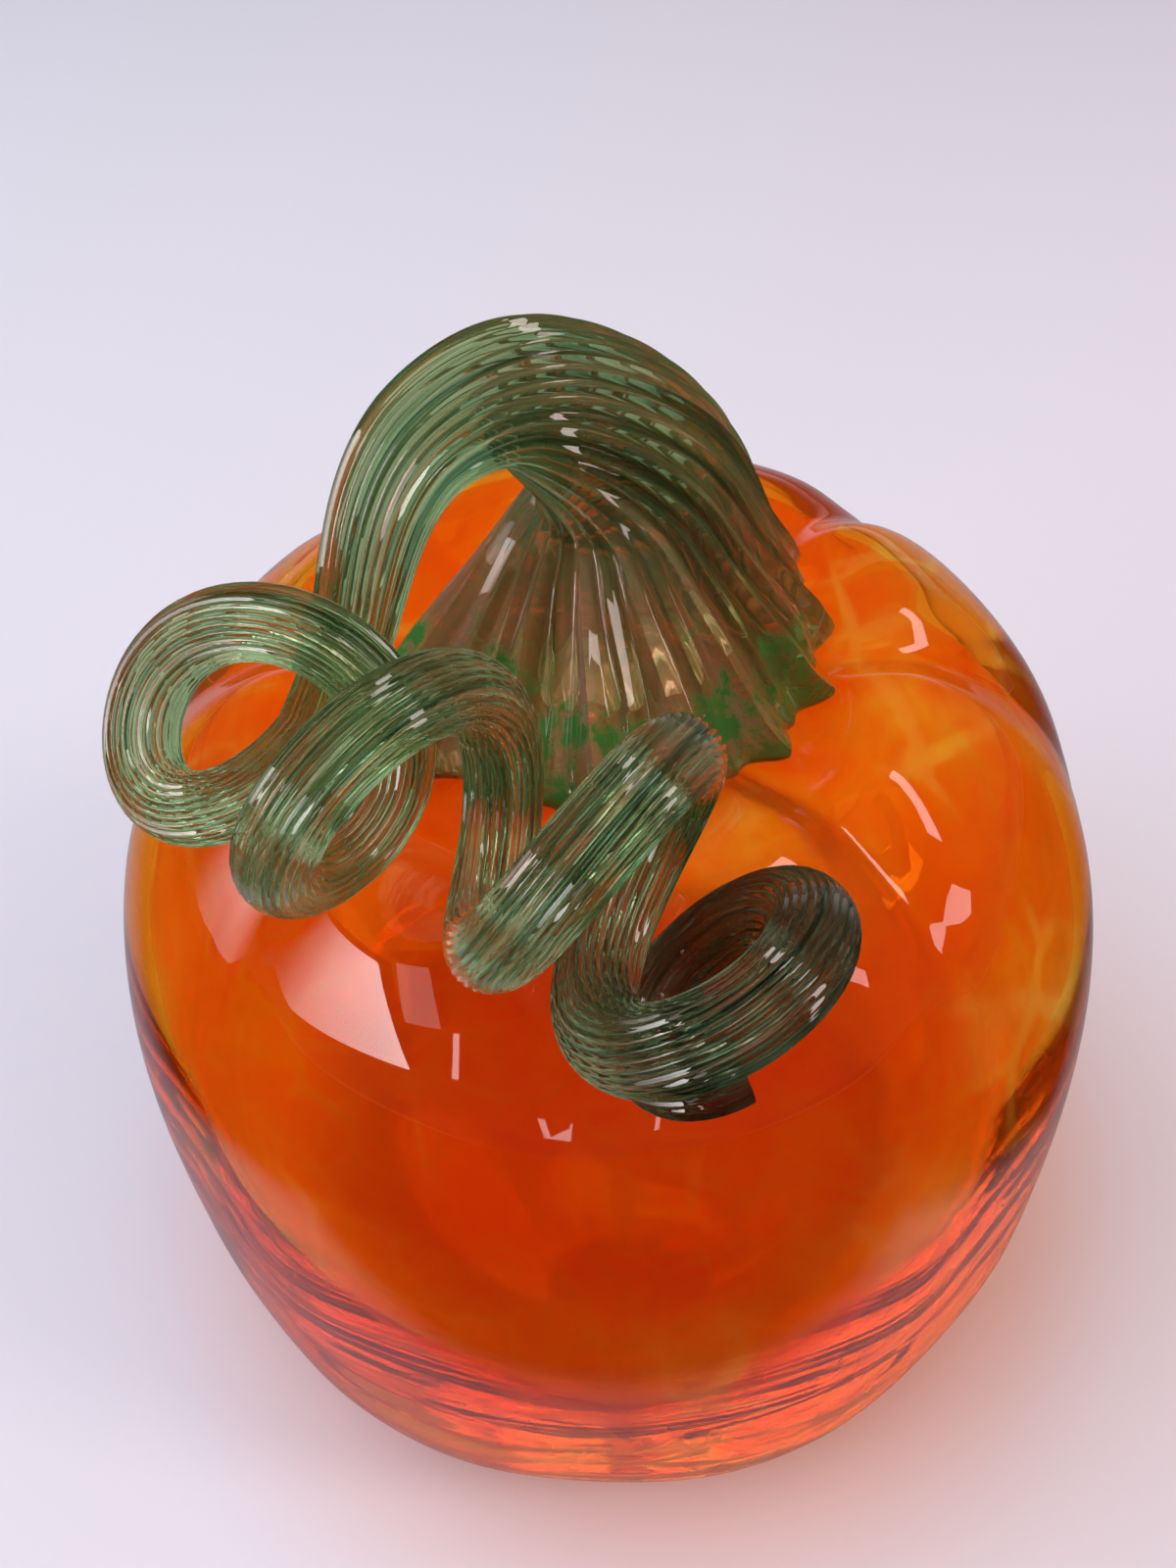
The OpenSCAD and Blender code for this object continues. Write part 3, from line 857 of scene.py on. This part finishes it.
def makeReflectionShadeCard():  # dark card with a hole, seen only in the glass's reflections: painted shade that dims the mirrored paper round the foot, and darkens it fully past the paper's outline, as the dark room beyond
    deselectAll()
    bpy.ops.mesh.primitive_circle_add(
        vertices=stage["cardSides"], radius=stage["cardHole"] * mm,
        location=(0, 0, stage["cardHeight"] * mm))
    card = bpy.context.object
    card.name = "card"
    bpy.ops.object.mode_set(mode="EDIT")
    bpy.ops.mesh.select_all(action="SELECT")
    bpy.ops.mesh.extrude_region_move()
    bpy.ops.transform.resize(value=[stage["cardWidth"] / stage["cardHole"]] * 2 + [1])
    bpy.ops.object.mode_set(mode="OBJECT")
    material, tree = startMaterial("reflection_shade_card")
    place = addNode(tree, "ShaderNodeTexCoord")
    split = addNode(tree, "ShaderNodeSeparateXYZ", {"Vector": place.outputs["Object"]})
    middleX = (stage["paperLeft"] + stage["paperRight"]) / 2 * mm
    middleY = (stage["paperFront"] + stage["paperRear"]) / 2 * mm
    outX = addNode(tree, "ShaderNodeMath", {0: split.outputs["X"], 1: middleX}, operation="SUBTRACT")
    outY = addNode(tree, "ShaderNodeMath", {0: split.outputs["Y"], 1: middleY}, operation="SUBTRACT")
    sideX = addNode(tree, "ShaderNodeMath", {0: outX.outputs[0]}, operation="ABSOLUTE")
    sideY = addNode(tree, "ShaderNodeMath", {0: outY.outputs[0]}, operation="ABSOLUTE")
    back = addNode(tree, "ShaderNodeMath", {
        0: split.outputs["Y"], 1: stage["paperTurn"] * mm}, operation="SUBTRACT")
    behind = addNode(tree, "ShaderNodeMath", {0: back.outputs[0], 1: 0}, operation="MAXIMUM")
    reach = addNode(tree, "ShaderNodeMath", {
        0: behind.outputs[0], 1: stage["paperSpread"], 2: stage["paperRight"] * mm - middleX},
        operation="MULTIPLY_ADD")
    pastX = addNode(tree, "ShaderNodeMath", {0: sideX.outputs[0], 1: reach.outputs[0]}, operation="SUBTRACT")
    pastY = addNode(tree, "ShaderNodeMath", {
        0: sideY.outputs[0], 1: stage["paperRear"] * mm - middleY}, operation="SUBTRACT")
    past = addNode(tree, "ShaderNodeMath", {0: pastX.outputs[0], 1: pastY.outputs[0]}, operation="MAXIMUM")
    soft = addNode(tree, "ShaderNodeMath", {
        0: behind.outputs[0], 1: stage["paperSoft"], 2: stage["paperEdge"] * mm}, operation="MULTIPLY_ADD")
    part = addNode(tree, "ShaderNodeMath", {0: past.outputs[0], 1: soft.outputs[0]}, operation="DIVIDE")
    # painted shade: how far the card darkens the mirrored paper, part way near the foot and fully past the
    # outline
    cover = addNode(tree, "ShaderNodeMapRange", {
        "Value": part.outputs[0], "From Min": -1, "From Max": 1,
        "To Min": stage["cardNear"], "To Max": 1}, interpolation_type="SMOOTHSTEP")
    ray = addNode(tree, "ShaderNodeLightPath")
    mirrored = addNode(tree, "ShaderNodeMath", {
        0: 1, 1: ray.outputs["Is Transmission Ray"]}, operation="SUBTRACT")
    shown = addNode(tree, "ShaderNodeMath", {
        0: cover.outputs[0], 1: mirrored.outputs[0]}, operation="MULTIPLY")
    clear = addNode(tree, "ShaderNodeBsdfTransparent")
    dark = addNode(tree, "ShaderNodeBsdfDiffuse", {"Color": linear(stage["cardDark"])})
    both = addNode(tree, "ShaderNodeMixShader", {
        0: shown.outputs[0], 1: clear.outputs[0], 2: dark.outputs[0]})
    addNode(tree, "ShaderNodeOutputMaterial", {"Surface": both.outputs[0]})
    card.data.materials.append(material)
    card.visible_camera = False
    card.visible_diffuse = False
    card.visible_shadow = False


def makeWorld():
    world = bpy.data.worlds.new("room")
    bpy.context.scene.world = world
    world.use_nodes = True
    tree = world.node_tree
    tree.nodes.clear()
    place = addNode(tree, "ShaderNodeTexCoord")
    split = addNode(tree, "ShaderNodeSeparateXYZ", {"Vector": place.outputs["Generated"]})
    sky = addNode(tree, "ShaderNodeValToRGB", {"Fac": split.outputs["Z"]})
    setRamp(sky, ((0, stage["horizon"]), (stage["zenithFrom"], stage["zenith"])))
    ray = addNode(tree, "ShaderNodeLightPath")
    clear = addNode(tree, "ShaderNodeMath", {
        0: ray.outputs["Is Camera Ray"], 1: ray.outputs["Is Transmission Ray"]}, operation="MAXIMUM")
    behind = addNode(tree, "ShaderNodeMapRange", {
        "Value": split.outputs["Y"], "From Min": stage["mirrorWay"][0],
        "From Max": stage["mirrorWay"][1]}, interpolation_type="SMOOTHSTEP")
    under = addNode(tree, "ShaderNodeMapRange", {
        "Value": split.outputs["Z"], "From Max": stage["mirrorRise"], "To Min": 1, "To Max": 0},
        interpolation_type="SMOOTHSTEP")
    sheet = addNode(tree, "ShaderNodeMath", {
        0: behind.outputs[0], 1: under.outputs[0]}, operation="MULTIPLY")
    mirrored = addNode(tree, "ShaderNodeMath", {
        0: sheet.outputs[0], 1: ray.outputs["Is Glossy Ray"]}, operation="MULTIPLY")
    pale = addNode(tree, "ShaderNodeMath", {0: clear.outputs[0], 1: mirrored.outputs[0]}, operation="MAXIMUM")
    seen = addNode(tree, "ShaderNodeMix", {
        0: pale.outputs[0], 6: sky.outputs["Color"], 7: linear(stage["backdrop"])}, data_type="RGBA")
    light = addNode(tree, "ShaderNodeBackground", {"Color": seen.outputs[2], "Strength": 1})
    addNode(tree, "ShaderNodeOutputWorld", {"Surface": light.outputs[0]})


# soft boxes: azimuth from the front, positive to the right, and rise in degrees, distance and size in metres
lamps = {
    "windowLeft": {
        "azimuth": -72, "rise": 26, "away": 2.0, "size": (1.5, 0.8), "glow": 2.2, "colour": "F4F4FF"},
    "windowRight": {
        "azimuth": 70, "rise": 40, "away": 2.0, "size": (0.4, 0.6), "glow": 9, "colour": "FFF2EC"},
    "skyLeft": {
        "azimuth": -98, "rise": 62, "away": 2.2, "size": (2.4, 2.4), "glow": 2.7, "colour": "DAECFF"},
    "skyRight": {
        "azimuth": 70, "rise": 60, "away": 2.2, "size": (2.4, 2.4), "glow": 1.45, "colour": "FFD8CA"},
}
lampAim = (0, 0, 100)  # mm, the middle of the object

# painted highlights: glowing panes and strips that light nothing and show only as reflections in the glass;
# stations from one end to the other, each with the azimuth and rise of its low and high side, or of its
# middle where a width in degrees is given
highlightPanes = {
    "paneLeft": {  # brighter towards its last station, as the power in fade says
        "stations": ((-100, 5, -98, 26), (-74, 7, -80, 33), (-42, 15, -60, 37)),
        "glow": 14, "fade": 2, "colour": "FFF6F4"},
    "paneInner": {
        "stations": ((-47, 27, -57, 40), (-38, 30, -50, 44)),
        "glow": 2.4, "colour": "FFF0EC"},
    "highlightArc": {
        "stations": ((122, 66), (106, 61), (92, 56), (78, 48), (66, 42)),
        "width": 10, "glow": 9, "colour": "FFEEE8"},
    "paneRight": {
        "stations": ((58, 29), (67, 20)),
        "width": 5, "glow": 7, "colour": "FFEEE8"},
    "glintFront": {
        "stations": ((-32, 31), (-30, 24), (-29, 18)),
        "width": 2.5, "glow": 9, "colour": "FFF2EE"},
    "glintLow": {
        "stations": ((-4, 14), (-4, 8)),
        "width": 1.5, "glow": 7, "colour": "FFF2EE"},
}
paneAway = 2  # metres


def wayTo(azimuth, rise):
    return Vector((sinD(azimuth) * cosD(rise), -cosD(azimuth) * cosD(rise), sinD(rise)))


def paneSides(pane):  # the low and high side of each station, as directions
    if "width" not in pane:
        return [(wayTo(*station[:2]), wayTo(*station[2:])) for station in pane["stations"]]
    ways = [wayTo(*station) for station in pane["stations"]]
    sides = []
    for i, way in enumerate(ways):
        along = ways[min(i + 1, len(ways) - 1)] - ways[max(i - 1, 0)]
        across = way.cross(along).normalized() * math.tan(math.radians(pane["width"] / 2))
        sides.append((way - across, way + across))
    return sides


def makeHighlightPanes():
    for name, pane in highlightPanes.items():
        sides = paneSides(pane)
        deselectAll()
        bpy.ops.mesh.primitive_grid_add(
            x_subdivisions=len(sides) - 1, y_subdivisions=1, size=1, location=(0, 0, 0))
        highlightSheet = bpy.context.object
        highlightSheet.name = name
        for vertex in highlightSheet.data.vertices:
            low, high = sides[round((vertex.co.x + 0.5) * (len(sides) - 1))]
            vertex.co = (high if vertex.co.y > 0 else low) * paneAway
        material, tree = startMaterial(name + "_painted_highlight")
        ray = addNode(tree, "ShaderNodeLightPath")
        place = addNode(tree, "ShaderNodeTexCoord")
        split = addNode(tree, "ShaderNodeSeparateXYZ", {"Vector": place.outputs["UV"]})
        fade = addNode(tree, "ShaderNodeMath", {
            0: split.outputs["X"], 1: pane.get("fade", 0)}, operation="POWER")
        glow = addNode(tree, "ShaderNodeMapRange", {  # painted highlight: mirrored on the glass, not seen through it
            "Value": ray.outputs["Is Transmission Ray"], "To Min": pane["glow"], "To Max": 0})
        strength = addNode(tree, "ShaderNodeMath", {
            0: fade.outputs[0], 1: glow.outputs[0]}, operation="MULTIPLY")
        light = addNode(tree, "ShaderNodeEmission", {
            "Color": linear(pane["colour"]), "Strength": strength.outputs[0]})
        addNode(tree, "ShaderNodeOutputMaterial", {"Surface": light.outputs[0]})
        highlightSheet.data.materials.append(material)
        highlightSheet.visible_camera = False
        highlightSheet.visible_diffuse = False
        highlightSheet.visible_shadow = False


def makeLamps():
    aim = Vector(lampAim) * mm
    for name, lamp in lamps.items():
        data = bpy.data.lights.new(name, "AREA")
        data.shape = "RECTANGLE"
        data.size, data.size_y = lamp["size"]
        data.energy = lamp["glow"] * math.pi * lamp["size"][0] * lamp["size"][1]
        data.color = linear(lamp["colour"])[:3]
        lampObject = bpy.data.objects.new(name, data)
        bpy.context.scene.collection.objects.link(lampObject)
        way = wayTo(lamp["azimuth"], lamp["rise"])
        lampObject.location = aim + way * lamp["away"]
        lampObject.rotation_euler = way.to_track_quat("Z", "Y").to_euler()
        lampObject.visible_camera = False
        lampObject.visible_glossy = False  # the painted highlight panes give the highlights


makeFloor()
makeReflectionShadeCard()
makeWorld()
makeLamps()
makeHighlightPanes()
print("stage:", len(lamps), "lamps,", len(highlightPanes), "highlightPanes")
bpy.context.scene.view_settings.view_transform = "Standard"
bpy.context.scene.cycles.max_bounces = stage["bounces"]
bpy.context.scene.cycles.transmission_bounces = stage["bounces"]
bpy.context.scene.cycles.glossy_bounces = stage["bounces"]
